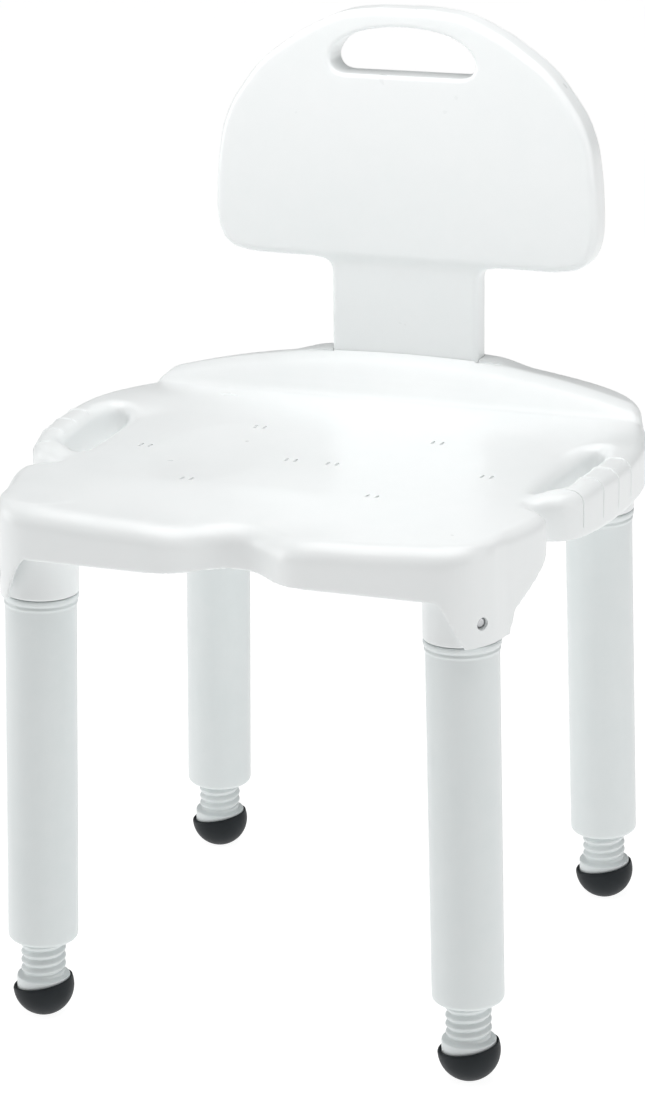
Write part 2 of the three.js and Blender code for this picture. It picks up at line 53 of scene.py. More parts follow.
# Seat
SEAT_TOP = 427.0
SKIRT_BOTTOM = 386.0
SEAT_FRONT = -217.0
SEAT_BACK = 217.0
WALL = 3.5
INSET = 0.8                 # room for the hand-hold ridges inside the part's outline
CREASE_Y = 155.0            # foot of the rear wall
WALL_RUN = 19.0             # how far the rear wall leans back at the centre
CREST_RISE = 27.0
CREST_HALF = 232.0
BAND_RUN = 11.0             # the sloping band over the rear wall
BAND_RISE = 7.5
PAD_HALF = 74.0             # flat beside the neck, before the rear falls away
BAR_RISE = 6.5              # swell of the hand-hold bars over the seat
BAR_BOTTOM = 396.0
LOBE_BOTTOM = 366.0
CORNER_BOTTOM = 346.0       # where the front corners run down over their sockets
SOCKET_RADIUS = 29.0
BORE_RADIUS = 24.9
SPIGOT_LENGTH = 62.0
BUTTON_HEIGHT = 19.0        # over the end of the socket
RING_Z = {"front": 348.0, "rear": 343.5}
RIDGES = (                  # beads over a bar: y, and the hub's x and first angle of its fan of rays
    (-56.0, 214.0, 100),
    (-27.0, 221.0, 118),
    (2.0, 224.0, 118),
    (31.0, 226.0, 118),
)
RIDGE_HUB_Z = 410.0
RIDGE_LAST_ANGLE = -34
RIDGE_HALF_HEIGHT = 0.74
CORNER_CENTRE_X = 155.0     # front corners of the outline
CORNER_RADIUS = 42.0
DISH_CENTRE = (84.0, -30.0)
DISH_REACH = (190.0, 330.0)
DISH_SCALE = 60.0
DISH_DEPTH = 2.0
FALL_START = -105.0         # where the seat begins to fall towards the front
FALL_RUN = 85.0
FALL_X = (0, 35, 70, 105, 150, 185)
FALL_DEPTH = (9, 8, 5, 4, 1, 0)
BACK_SLOPE = 0.17           # fall to the rear beside the pad
RIB_X = (44, 120)
RIB_Y = (-72, 92)
RIB_HALF = 1.4
RIB_BOTTOM = SKIRT_BOTTOM + 14
SLEEVE_HALF = (69.5, 16.8)  # round the backrest's slot, under the seat
DRAINS = ((75.0, 49.0), (141.0, -29.0), (75.0, -103.0), (17.0, -32.5))

# Backrest
SLOT_Y = 196.0
BACK_FRONT, BACK_REAR = 180.0, 212.0
NECK_FRONT, NECK_REAR = 184.0, 208.0
NECK_HALF = 63.5
BACK_BOTTOM = 537.2
TONGUE_BOTTOM = 392.0

# Legs
TUBE_RADIUS = 27.4
TUBE_LENGTH = 284.0
SPIGOT_RADIUS = 24.2
ROOT_RADIUS = 15.0
THREAD_DEPTH = 2.6
PITCH = 6.8
THREAD_LENGTH = 163.0
PITCH_STEPS = 14            # rings to a turn of the thread
FLANGE_RADIUS = 20.8
FLANGE_BOTTOM = 20.0        # this and the next along the leg, from the floor
ROD_BOTTOM = 31.0
TIP_RADIUS = 24.0
TIP_CENTRE = 22.8
TIP_RIM = 27.0
TIP_LEAN = math.radians(11)


# ---------------------------------------------------------------- curves in the plane

def bezier(*control, count=14):
    """Points along a Bezier curve, without its last point."""
    t = np.linspace(0, 1, count, endpoint=False)[:, None]
    order = len(control) - 1
    return sum(
        math.comb(order, i) * (1 - t) ** (order - i) * t ** i * np.array(p, float)
        for i, p in enumerate(control)
    )


def through(points, closed=False, count=10):
    """A smooth curve through the points, without its last point if it is open."""
    p = np.array(points, float)
    if closed:
        p = np.vstack([p[-1], p, p[0], p[1]])
    else:
        p = np.vstack([2 * p[0] - p[1], p, 2 * p[-1] - p[-2]])
    t = np.linspace(0, 1, count, endpoint=False)[:, None]
    spans = []
    for a, b, c, d in zip(p, p[1:], p[2:], p[3:]):
        spans.append(0.5 * (2 * b + (c - a) * t + (2 * a - 5 * b + 4 * c - d) * t ** 2
                            + (3 * b - a - 3 * c + d) * t ** 3))
    return np.vstack(spans)


def with_mirror(half):
    """A closed outline from its right half, which starts and ends on the centre line."""
    other = half[1:-1][::-1] * (-1, 1)
    return np.vstack([half, other])


def signed_distance(outline, u, v):
    """Distance from a closed outline, negative inside."""
    nearest = np.full(u.shape, 1e12)
    inside = np.zeros(u.shape, bool)
    for (au, av), (bu, bv) in zip(outline, np.roll(outline, -1, 0)):
        eu, ev = bu - au, bv - av
        square = eu * eu + ev * ev
        if square < 1e-9:
            continue
        t = np.clip(((u - au) * eu + (v - av) * ev) / square, 0, 1)
        nearest = np.minimum(nearest, (u - au - t * eu) ** 2 + (v - av - t * ev) ** 2)
        if abs(ev) > 1e-9:
            inside ^= ((av > v) != (bv > v)) & (u < au + (v - av) * eu / ev)
    return np.where(inside, -1, 1) * np.sqrt(nearest)


def seat_outline():
    """The seat's outline from above, with its front notch, corner lobes and hand-hold bars."""
    f = SEAT_FRONT
    r = CORNER_RADIUS
    turn = np.linspace(0, math.pi / 2, 14)
    corner = [(CORNER_CENTRE_X + r * math.sin(a), f + r - r * math.cos(a)) for a in turn]
    half = np.vstack([
        bezier((0, f + 30), (24, f + 30), (30, f), (60, f)),
        [(60, f), (110, f)],
        corner[:-1],
        through([(CORNER_CENTRE_X + r, f + r), (205, -150), (212, -125), (213, -107), (206, -97),
                 (196, -90), (194, -84), (203, -78), (216, -72), (225, -60), (231, -40),
                 (236, -10), (238.5, 30), (237.5, 65), (233, 100), (224, 134), (209, 168)]),
        bezier((209, 168), (199, SEAT_BACK), (148, SEAT_BACK)),
        [(148, SEAT_BACK), (0, SEAT_BACK)],
    ])
    return with_mirror(half)


def panel_outline():
    """The backrest's half-round panel, seen from the front."""
    half = np.vstack([
        [(0, 745), (20, 745)],
        through([(24, 744.8), (52, 740.5), (84, 726), (101, 715), (115, 705), (127, 694),
                 (135, 684), (143, 673), (150, 662), (156, 648), (160, 633), (163.5, 604),
                 (164.4, 571), (159.5, 550.5), (148, 540.6), (128, BACK_BOTTOM)]),
        [(128, BACK_BOTTOM), (0, BACK_BOTTOM)],
    ])
    return with_mirror(half)


def grip_outline():
    """The backrest's grip opening, seen from the front."""
    half = np.vstack([
        bezier((0, 730), (30, 730), (58, 722), (62, 704)),
        bezier((62, 704), (62.5, 692), (50, 691)),
        [(50, 691), (0, 691)],
    ])
    return with_mirror(half)


HAND_HOLD = through([(189, -52), (200, -50), (207, -42), (209, -26), (212, 7), (214, 36),
                     (210, 56), (201, 62), (192, 52), (188, 23), (187, 1), (187, -28)], closed=True)


# ---------------------------------------------------------------- fields of distance

def rounded_cut(a, b, radius):
    """Where two fields overlap, with their common edge rounded."""
    ra, rb = np.maximum(a + radius, 0), np.maximum(b + radius, 0)
    return np.hypot(ra, rb) + np.minimum(np.maximum(a, b) + radius, 0) - radius


def soft_union(a, b, blend):
    """Both fields together, with a fillet where they meet."""
    share = np.clip(0.5 + 0.5 * (b - a) / blend, 0, 1)
    return b + (a - b) * share - blend * share * (1 - share)


def step(value):
    """Runs smoothly from 0 to 1 as value does."""
    value = np.clip(value, 0, 1)
    return value * value * (3 - 2 * value)


def blur(field, cells):
    """Smooths a plane field."""
    reach = int(3 * cells + 1)
    kernel = np.exp(-0.5 * (np.arange(-reach, reach + 1) / cells) ** 2)
    kernel /= kernel.sum()
    for axis in (0, 1):
        widths = [(reach, reach) if k == axis else (0, 0) for k in (0, 1)]
        padded = np.pad(field, widths, mode="reflect")
        size = field.shape[axis]
        field = sum(w * np.take(padded, np.arange(i, i + size), axis) for i, w in enumerate(kernel))
    return field


def rounded_box(u, v, half_u, half_v, radius):
    qu, qv = np.abs(u) - half_u + radius, np.abs(v) - half_v + radius
    return np.hypot(np.maximum(qu, 0), np.maximum(qv, 0)) + np.minimum(np.maximum(qu, qv), 0) - radius


class Grid:
    """A box of sample points over the right half of the part, mirrored when it is meshed."""

    def __init__(self, low, high, cell):
        self.cell = cell
        self.low = np.array(low, float)
        counts = np.ceil((np.array(high, float) - self.low) / cell).astype(int) + 1
        self.axes = [self.low[k] + cell * np.arange(counts[k]) for k in range(3)]

    def spread(self):
        x, y, z = self.axes
        return x[:, None, None], y[None, :, None], z[None, None, :]

    def mirror(self, field):
        """The whole field, and the place of its first sample."""
        whole = np.concatenate([field[:0:-1], field]).astype(np.float32)
        corner = self.low.copy()
        corner[0] = -self.axes[0][-1]
        return whole, corner


def sample(field, at):
    """The field between its samples, at points given in cells."""
    base = np.clip(np.floor(at).astype(int), 0, np.array(field.shape) - 2)
    part = at - base
    total = np.zeros(len(at))
    for offset in np.ndindex(2, 2, 2):
        weight = np.prod(np.where(np.array(offset) == 1, part, 1 - part), axis=1)
        i, j, k = (base + offset).T
        total += weight * field[i, j, k]
    return total


def slope(field, at):
    """The field's gradient at points given in cells."""
    found = np.zeros(at.shape)
    for axis in range(3):
        nudge = np.zeros(3)
        nudge[axis] = 0.5
        found[:, axis] = sample(field, at + nudge) - sample(field, at - nudge)
    return found


def settled(whole, at):
    """The points moved along the field's gradient onto the surface."""
    for _ in range(3):
        gradient = slope(whole, at)
        steep = np.maximum((gradient ** 2).sum(1), 0.05)
        shift = (sample(whole, at) / steep)[:, None] * gradient
        at = at - np.clip(shift, -0.4, 0.4)
    return at


def evened(whole, at, quads):
    """The points spread more evenly, each kept in the surface's tangent plane."""
    pairs = np.concatenate([quads[:, [k, (k + 1) % 4]] for k in range(4)])
    ends = np.concatenate([pairs, pairs[:, ::-1]])
    count = np.maximum(np.bincount(ends[:, 0], minlength=len(at)), 1)
    for _ in range(6):
        around = [np.bincount(ends[:, 0], at[ends[:, 1], k], len(at)) / count for k in range(3)]
        shift = 0.6 * (np.stack(around, axis=1) - at)
        normal = slope(whole, at)
        normal /= np.linalg.norm(normal, axis=1, keepdims=True) + 1e-9
        at = at + shift - (shift * normal).sum(1)[:, None] * normal
    return at


def mesh_of_field(name, grid, field):
    """Meshes the surface where the field is zero, and settles every point on it."""
    whole, corner = grid.mirror(field)
    reach = 3 * grid.cell
    volume = openvdb.FloatGrid(reach)
    volume.copyFromArray(np.clip(whole, -reach, reach))
    points, quads = volume.convertToQuads(0.0)
    quads = np.array(quads, int)
    at = settled(whole, np.array(points, float))
    at = settled(whole, evened(whole, at, quads))
    edge_a, edge_b = at[quads[:, 2]] - at[quads[:, 0]], at[quads[:, 3]] - at[quads[:, 1]]
    facing = (np.cross(edge_a, edge_b) * slope(whole, at[quads[:, 0]])).sum()
    if facing < 0:
        quads = quads[:, ::-1]
    mesh = bpy.data.meshes.new(name)
    mesh.from_pydata(((corner + at * grid.cell) * MM).tolist(), [], quads.tolist())
    mesh.validate()
    return mesh


# ---------------------------------------------------------------- meshes

def shown(name, mesh, body, slot, *nodes, sharp=40):
    """Puts a finished mesh in the scene as a piece of the object."""
    mesh.shade_smooth()
    mesh.set_sharp_from_angle(angle=math.radians(sharp))
    piece = bpy.data.objects.new(name, mesh)
    bpy.context.scene.collection.objects.link(piece)
    mesh.materials.clear()
    mesh.materials.append(MATERIALS[slot])
    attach(piece, body)
    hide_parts(*nodes)
    return piece


def mesh_from_rings(name, rings, closed_profile=False, matrix=Matrix()):
    """Skins a stack of equal closed rings, in millimetres, capped unless the stack closes on itself."""
    rings = np.array(rings, float)
    layers, around = rings.shape[:2]
    faces = []
    last = layers if closed_profile else layers - 1
    for j in range(last):
        low, high = j * around, (j + 1) % layers * around
        for i in range(around):
            k = (i + 1) % around
            faces.append((low + i, low + k, high + k, high + i))
    if not closed_profile:
        faces.append(tuple(range(around - 1, -1, -1)))
        faces.append(tuple(range((layers - 1) * around, layers * around)))
    mesh = bpy.data.meshes.new(name)
    mesh.from_pydata((rings.reshape(-1, 3)).tolist(), [], faces)
    work = bmesh.new()
    work.from_mesh(mesh)
    bmesh.ops.remove_doubles(work, verts=work.verts, dist=1e-4)
    bmesh.ops.recalc_face_normals(work, faces=work.faces)
    work.to_mesh(mesh)
    work.free()
    mesh.transform(Matrix.Scale(MM, 4) @ matrix)
    return mesh


def ring(radius, height, around):
    """A ring of points about Z, whose radius and height may vary round it."""
    turn = np.linspace(0, 2 * math.pi, around, endpoint=False)
    return np.stack([radius * np.cos(turn), radius * np.sin(turn), np.full(around, height)], axis=1)


def revolved(name, profile, around=96, closed_profile=False, matrix=Matrix()):
    return mesh_from_rings(name, [ring(r, z, around) for r, z in profile], closed_profile, matrix)


def arc(centre_r, centre_z, radius, start, end, count=6):
    """Points of a quarter or so of a circle, for a profile, with angles in degrees."""
    angles = np.radians(np.linspace(start, end, count))
    return [(centre_r + radius * math.cos(a), centre_z + radius * math.sin(a)) for a in angles]


def prism(name, outline, bottom, top, matrix=Matrix()):
    rings = [[(x, y, z) for x, y in outline] for z in (bottom, top)]
    return mesh_from_rings(name, rings, matrix=matrix)


def joined(name, meshes):
    """One mesh made of several, which are then removed."""
    work = bmesh.new()
    for mesh in meshes:
        work.from_mesh(mesh)
        bpy.data.meshes.remove(mesh)
    whole = bpy.data.meshes.new(name)
    work.to_mesh(whole)
    work.free()
    return whole


def carved(mesh, cutter):
    """The mesh with the cutter's solids taken out of it."""
    target = bpy.data.objects.new("target", mesh)
    tool = bpy.data.objects.new("tool", cutter)
    for item in (target, tool):
        bpy.context.scene.collection.objects.link(item)
    modifier = target.modifiers.new("cut", "BOOLEAN")
    modifier.operation, modifier.object, modifier.solver = "DIFFERENCE", tool, "MANIFOLD"
    bpy.context.view_layer.update()
    found = target.evaluated_get(bpy.context.evaluated_depsgraph_get())
    result = bpy.data.meshes.new_from_object(found)
    result.name = mesh.name
    for item in (target, tool):
        bpy.data.objects.remove(item)
    bpy.data.meshes.remove(mesh)
    bpy.data.meshes.remove(cutter)
    return result


# ---------------------------------------------------------------- where the legs are

JOINTS = {joint["name"]: joint for joint in frame["joints"]}
CORNERS = ("front_left", "front_right", "rear_left", "rear_right")


def leg_frame(corner):
    """Millimetre frame of a leg: origin at the end of its socket, Z up the leg, X to the right."""
    up = -Vector(JOINTS[corner + "_height"]["axis"]).normalized()
    foot = Vector(JOINTS[corner + "_screw_turn"]["pos_m"]) / MM
    ring_z = RING_Z[corner.split("_")[0]]
    origin = foot + up * ((ring_z - foot.z) / up.z)
    side = (Vector((1, 0, 0)) - up * up.x).normalized()
    axes = Matrix((side, up.cross(side), up)).transposed().to_4x4()
    return Matrix.Translation(origin) @ axes


def button_frame(corner):
    """Millimetre frame of a snap button: origin on the leg's axis, Z outwards."""
    outward = -Vector(JOINTS[corner + "_button_press"]["axis"]).normalized()
    origin = leg_frame(corner) @ Vector((0, 0, BUTTON_HEIGHT))
    side = outward.orthogonal().normalized()
    axes = Matrix((side, outward.cross(side), outward)).transposed().to_4x4()
    return Matrix.Translation(origin) @ axes


# ---------------------------------------------------------------- materials

def material(slot, build):
    made = bpy.data.materials.new(slot)
    made.use_nodes = True
    nodes, links = made.node_tree.nodes, made.node_tree.links
    nodes.clear()
    output = nodes.new("ShaderNodeOutputMaterial")
    shader = nodes.new("ShaderNodeBsdfPrincipled")
    links.new(shader.outputs["BSDF"], output.inputs["Surface"])
    build(nodes, links, shader)
    return made


def noise(nodes, links, place, scale, detail, roughness=0.5):
    made = nodes.new("ShaderNodeTexNoise")
    made.inputs["Scale"].default_value = scale
    made.inputs["Detail"].default_value = detail
    made.inputs["Roughness"].default_value = roughness
    links.new(place, made.inputs["Vector"])
    return made.outputs["Fac"]


def spread(nodes, links, value, low, high, start=0.15, end=0.85):
    made = nodes.new("ShaderNodeMapRange")
    made.inputs["From Min"].default_value = start
    made.inputs["From Max"].default_value = end
    made.inputs["To Min"].default_value = low
    made.inputs["To Max"].default_value = high
    links.new(value, made.inputs["Value"])
    return made.outputs["Result"]


def mixed(nodes, links, share, first, second):
    made = nodes.new("ShaderNodeMix")
    made.data_type = "RGBA"
    links.new(share, made.inputs["Factor"])
    for socket, value in ((made.inputs[6], first), (made.inputs[7], second)):
        if isinstance(value, tuple):
            socket.default_value = (*value, 1)
        else:
            links.new(value, socket)
    return made.outputs[2]


def bumped(nodes, links, shader, heights):
    """Chains bumps from (height socket, distance in metres) pairs."""
    normal = None
    for height, distance in heights:
        made = nodes.new("ShaderNodeBump")
        made.inputs["Strength"].default_value = 1
        made.inputs["Distance"].default_value = distance
        links.new(height, made.inputs["Height"])
        if normal is not None:
            links.new(normal, made.inputs["Normal"])
        normal = made.outputs["Normal"]
    links.new(normal, shader.inputs["Normal"])


def plastic(clean, shade, worn, gloss, coat):
    """Moulded plastic: cloudy tint, slightly worn edges, faint flow waves and a fine satin grain."""
    def build(nodes, links, shader):
        place = nodes.new("ShaderNodeTexCoord").outputs["Object"]
        cloud = noise(nodes, links, place, 9, 3)
        mottle = noise(nodes, links, place, 55, 5)
        base = mixed(nodes, links, spread(nodes, links, cloud, 0, 1), clean, shade)
        base = mixed(nodes, links, spread(nodes, links, mottle, 0, 0.35), base, worn)
        edge = nodes.new("ShaderNodeNewGeometry").outputs["Pointiness"]
        rim = spread(nodes, links, edge, 0, 0.35, 0.53, 0.66)
        base = mixed(nodes, links, rim, base, worn)
        links.new(base, shader.inputs["Base Color"])
        rough = noise(nodes, links, place, 26, 3)
        links.new(spread(nodes, links, rough, gloss - 0.05, gloss + 0.08), shader.inputs["Roughness"])
        shader.inputs["IOR"].default_value = 1.49
        shader.inputs["Subsurface Weight"].default_value = 0.04
        shader.inputs["Subsurface Radius"].default_value = (0.004, 0.004, 0.004)
        shader.inputs["Coat Weight"].default_value = coat
        shader.inputs["Coat Roughness"].default_value = 0.22
        grain = noise(nodes, links, place, 1500, 2)
        waves = noise(nodes, links, place, 22, 2)
        bumped(nodes, links, shader, [(waves, 0.00035), (grain, 0.000012)])
    return build


def rubber(nodes, links, shader):
    place = nodes.new("ShaderNodeTexCoord").outputs["Object"]
    cloud = noise(nodes, links, place, 60, 4)
    dust = noise(nodes, links, place, 160, 6, 0.7)
    tint = spread(nodes, links, cloud, 0, 1)
    base = mixed(nodes, links, tint, (0.007, 0.010, 0.012), (0.013, 0.017, 0.020))
    base = mixed(nodes, links, spread(nodes, links, dust, 0, 0.2), base, (0.035, 0.041, 0.045))
    links.new(base, shader.inputs["Base Color"])
    links.new(spread(nodes, links, dust, 0.40, 0.62), shader.inputs["Roughness"])
    shader.inputs["IOR"].default_value = 1.3
    grain = noise(nodes, links, place, 900, 3)
    bumped(nodes, links, shader, [(cloud, 0.0002), (grain, 0.00003)])


def steel(nodes, links, shader):
    place = nodes.new("ShaderNodeTexCoord").outputs["Object"]
    cloud = noise(nodes, links, place, 200, 4)
    base = mixed(nodes, links, spread(nodes, links, cloud, 0, 1), (0.60, 0.61, 0.62), (0.44, 0.45, 0.46))
    links.new(base, shader.inputs["Base Color"])
    shader.inputs["Metallic"].default_value = 1
    links.new(spread(nodes, links, cloud, 0.22, 0.4), shader.inputs["Roughness"])
    grain = noise(nodes, links, place, 2500, 2)
    bumped(nodes, links, shader, [(grain, 0.000008)])


SURFACES = {
    "white_plastic": plastic((0.90, 0.92, 0.92), (0.87, 0.90, 0.90), (0.93, 0.94, 0.94), 0.30, 0.15),
    "leg_plastic": plastic((0.79, 0.83, 0.83), (0.75, 0.80, 0.80), (0.86, 0.88, 0.88), 0.34, 0.1),
    "screw_plastic": plastic((0.78, 0.82, 0.82), (0.74, 0.79, 0.79), (0.86, 0.88, 0.88), 0.38, 0.05),
    "black_rubber": rubber,
    "spring_steel": steel,
}
MATERIALS = {slot: material(slot, build) for slot, build in SURFACES.items()}


# ---------------------------------------------------------------- seat shell

def seat_top(x, y):
    """Height of the seat's upper surface over the plane."""
    share = np.clip(1 - (x / CREST_HALF) ** 2, 0, 1)
    crest_y = CREASE_Y + WALL_RUN * share
    wall = CREST_RISE * share * np.clip((y - CREASE_Y) / np.maximum(WALL_RUN * share, 1e-3), 0, 1)
    band = BAND_RISE * np.sqrt(share) * np.clip((y - crest_y) / BAND_RUN, 0, 1)
    fall_back = BACK_SLOPE * step((x - PAD_HALF) / 34) * np.maximum(y - crest_y - BAND_RUN, 0)
    inside = 1 - ((x - DISH_CENTRE[0]) / DISH_REACH[0]) ** 2 - ((y - DISH_CENTRE[1]) / DISH_REACH[1]) ** 2
    dish = np.maximum(DISH_SCALE * np.sqrt(np.maximum(inside, 0)) - DISH_SCALE + DISH_DEPTH, 0)
    fall = np.interp(x, FALL_X, FALL_DEPTH) * step((FALL_START - y) / FALL_RUN)
    widening = step((y - 30) / 50)
    swell = BAR_RISE * step((x - 184 + 30 * widening) / (18 + 45 * widening))
    swell = swell * step((y + 108) / 85) * step((175 - y) / 120)
    return SEAT_TOP + wall + band - fall_back - dish - fall + swell * (y < CREASE_Y + 4)


def socket_field(x, y, z, corner):
    """Distance from a leg socket, which runs from a little below its finished end up to the seat."""
    place = leg_frame(corner)
    axis, origin = place.col[2].to_3d(), place.translation
    px, py, pz = x - origin.x, y - origin.y, z - origin.z
    along = px * axis.x + py * axis.y + pz * axis.z
    away = np.sqrt(np.maximum(px ** 2 + py ** 2 + pz ** 2 - along ** 2, 0))
    top = SEAT_TOP - WALL - RING_Z[corner.split("_")[0]]
    return np.maximum(np.maximum(away - SOCKET_RADIUS, -6 - along), along - top)


def seat_field(grid):
    """The field of the shell with its ribs, sleeve and sockets, and the field of its solid outer form."""
    x, y, z = grid.spread()
    px, py = np.broadcast_arrays(x[:, :, 0], y[:, :, 0])
    edge = blur(signed_distance(seat_outline(), px, py), 0.6) + INSET
    hold = blur(signed_distance(HAND_HOLD, px, py), 0.8)
    around = np.maximum(edge, -hold)
    top = blur(seat_top(px, py), 0.9)
    tilt = np.sqrt(1 + sum(d ** 2 for d in np.gradient(top, grid.cell)))
    front = step((-135 - py) / 50) * (1 - step((px - 160) / 40))
    scoop = step((199 - px) / 10) * step((34 - hold) / 12) * step((py + 92) / 30) * step((84 - py) / 30)
    radius = blur(10 + 7 * front + 4 * scoop, 3)
    side_bottom = np.interp(py, [-160, -152, -106, 140, 172],
                            [CORNER_BOTTOM, LOBE_BOTTOM, BAR_BOTTOM - 1, BAR_BOTTOM, SKIRT_BOTTOM])
    side = np.where(py < -106, step((px - 160) / 27), step((px - 172) / 10))
    bottom = SKIRT_BOTTOM + (side_bottom - SKIRT_BOTTOM) * side

    around, radius, tilt = around[:, :, None], radius[:, :, None], tilt[:, :, None]
    above = (z - top[:, :, None]) / tilt
    outer = rounded_cut(around, above, radius)
    cavity = rounded_cut(around + WALL, above + WALL, radius - WALL)
    shell = np.maximum(outer, -cavity)

    ribs = np.full(shell.shape, 1e3)
    for rib_x in RIB_X:
        ribs = np.minimum(ribs, np.maximum(np.abs(x - rib_x) - RIB_HALF, np.maximum(y - 150, -170 - y)))
    for rib_y in RIB_Y:
        ribs = np.minimum(ribs, np.maximum(np.abs(y - rib_y) - RIB_HALF, x - 150))
    ribs = np.maximum(np.maximum(ribs, RIB_BOTTOM - z), outer + 1)
    shell = soft_union(shell, ribs, 2)

    sleeve = np.maximum(rounded_box(x, y - SLOT_Y, *SLEEVE_HALF, 7), z - (SEAT_TOP + CREST_RISE))
    shell = soft_union(shell, np.maximum(sleeve, outer), 2)
    shell = rounded_cut(shell, bottom[:, :, None] - z, 1.6)
    allowed = outer
    for corner in ("front_right", "rear_right"):
        socket = socket_field(x, y, z, corner)
        shell = soft_union(shell, socket, 10)
        allowed = soft_union(allowed, socket, 5)
    return np.maximum(shell, allowed), outer


def socket_cutter(corner):
    """Finishes the end of a socket and bores it for the leg's spigot."""
    r, b = SOCKET_RADIUS, BORE_RADIUS
    profile = [(0.01, SPIGOT_LENGTH + 4), (b, SPIGOT_LENGTH + 4), (b, 1.4), (b + 0.9, 0.25), (r - 1.5, 0.25),
               (r - 0.5, 0.7), (r + 0.1, 1.7), (r + 9, 1.9), (r + 9, -14), (0.01, -14)]
    return revolved("bore", profile, 80, matrix=leg_frame(corner))


def drain_slots():
    """Cutters for the drains, each a pair of short slots with round ends."""
    cutters = []
    turn = np.linspace(0, math.pi, 7)
    for gx, gy in DRAINS:
        for side in (-1, 1):
            for offset in (-3.8, 3.8):
                x = side * gx + offset
                outline = [(x + 1.1 * math.cos(a), gy + 2.9 + 1.1 * math.sin(a)) for a in turn]
                outline += [(x - 1.1 * math.cos(a), gy - 2.9 - 1.1 * math.sin(a)) for a in turn]
                cutters.append(prism("drain", outline, SEAT_TOP - 30, SEAT_TOP + 8))
    return cutters


def box_outline(cx, cy, half_x, half_y, radius):
    points = []
    for sx, sy, start in ((1, 1, 0), (-1, 1, 90), (-1, -1, 180), (1, -1, 270)):
        for angle in np.radians(np.linspace(start, start + 90, 7)):
            points.append((cx + sx * (half_x - radius) + radius * math.cos(angle),
                           cy + sy * (half_y - radius) + radius * math.sin(angle)))
    return points


def ridge(grid, outer, y, hub_x, start, side):
    """A thin half-round bead over a hand-hold bar, from the opening's rim to the skirt."""
    whole, corner = grid.mirror(outer)
    path = []
    for angle in np.radians(np.linspace(start, RIDGE_LAST_ANGLE, 44)):
        reach = np.linspace(2, 46, 89)
        line = np.stack([side * (hub_x + reach * math.cos(angle)), np.full(89, y),
                         RIDGE_HUB_Z + reach * math.sin(angle)], axis=1)
        value = sample(whole, (line - corner) / grid.cell)
        out = np.nonzero(value > 0)[0]
        if len(out) and out[0]:
            i = out[0]
            t = value[i - 1] / (value[i - 1] - value[i])
            path.append(line[i - 1] + t * (line[i] - line[i - 1]))
    path = np.array(path)
    rings = []
    for i, point in enumerate(path):
        along = path[min(i + 1, len(path) - 1)] - path[max(i - 1, 0)]
        along /= np.linalg.norm(along)
        out = np.cross(along, (0, 1, 0))
        size = RIDGE_HALF_HEIGHT * min(1, 0.25 + i / 3, 0.25 + (len(path) - 1 - i) / 3)
        rings.append([point + size * (math.cos(a) * np.array([0, 1.5, 0]) + math.sin(a) * out)
                      for a in np.linspace(0, 2 * math.pi, 10, endpoint=False)])
    return mesh_from_rings("ridge", rings)


def build_seat():
    grid = Grid((0, -226, 330), (246, 226, 474), 2.0)
    field, outer = seat_field(grid)
    mesh = mesh_of_field("seat_shell_looks", grid, field)
    cutters = [socket_cutter(corner) for corner in CORNERS]
    cutters += drain_slots()
    above_seat = SEAT_TOP + 53
    slot = box_outline(0, SLOT_Y, NECK_HALF + 0.5, 12.5, 5.4)
    cutters.append(prism("slot", slot, TONGUE_BOTTOM - 3, above_seat))
    for side in (-1, 1):
        pocket = box_outline(side * 73, SLOT_Y - 11.5, 12, 2.6, 2.2)
        cutters.append(prism("pocket", pocket, SEAT_TOP + 30, above_seat))
    hole = [(0.01, 20), (4.35, 20), (4.35, 29.2), (4.9, 30), (4.9, 40), (0.01, 40)]
    cutters += [revolved("button_hole", hole, 32, matrix=button_frame(corner)) for corner in CORNERS]
    for cutter in cutters:
        mesh = carved(mesh, cutter)
    ridges = [ridge(grid, outer, *place, side) for place in RIDGES for side in (-1, 1)]
    return joined("seat_shell_looks", [mesh, *ridges])


# ---------------------------------------------------------------- backrest

def build_backrest():
    """The backrest's panel with its grip opening, and the neck and tongue under it."""
    grid = Grid((0, 174, 384), (172, 218, 752), 1.6)
    x, y, z = grid.spread()
    px, pz = np.broadcast_arrays(x[:, 0, :], z[:, 0, :])
    panel = blur(signed_distance(panel_outline(), px, pz), 1.0) + 0.15
    grip = blur(signed_distance(grip_outline(), px, pz), 0.8)
    depth = np.maximum(BACK_FRONT - y, y - BACK_REAR)
    panel = rounded_cut(rounded_cut(panel[:, None, :], depth, 7), -grip[:, None, :], 3.5)

    neck = blur(np.maximum(px - NECK_HALF, np.maximum(TONGUE_BOTTOM - pz, pz - 580)), 0.8)
    flare = 12 - np.hypot(np.maximum(NECK_HALF + 12 - px, 0), np.maximum(pz - (BACK_BOTTOM - 12), 0))
    flare = np.maximum(np.maximum(flare, px - NECK_HALF - 12), np.maximum(BACK_BOTTOM - 12 - pz, pz - 560))
    neck = np.minimum(neck, flare)[:, None, :]
    stem = rounded_cut(neck, np.maximum(NECK_FRONT - y, y - NECK_REAR), 5)
    body = soft_union(panel, stem, 5)
    return mesh_of_field("backrest_looks", grid, body)


# ---------------------------------------------------------------- legs

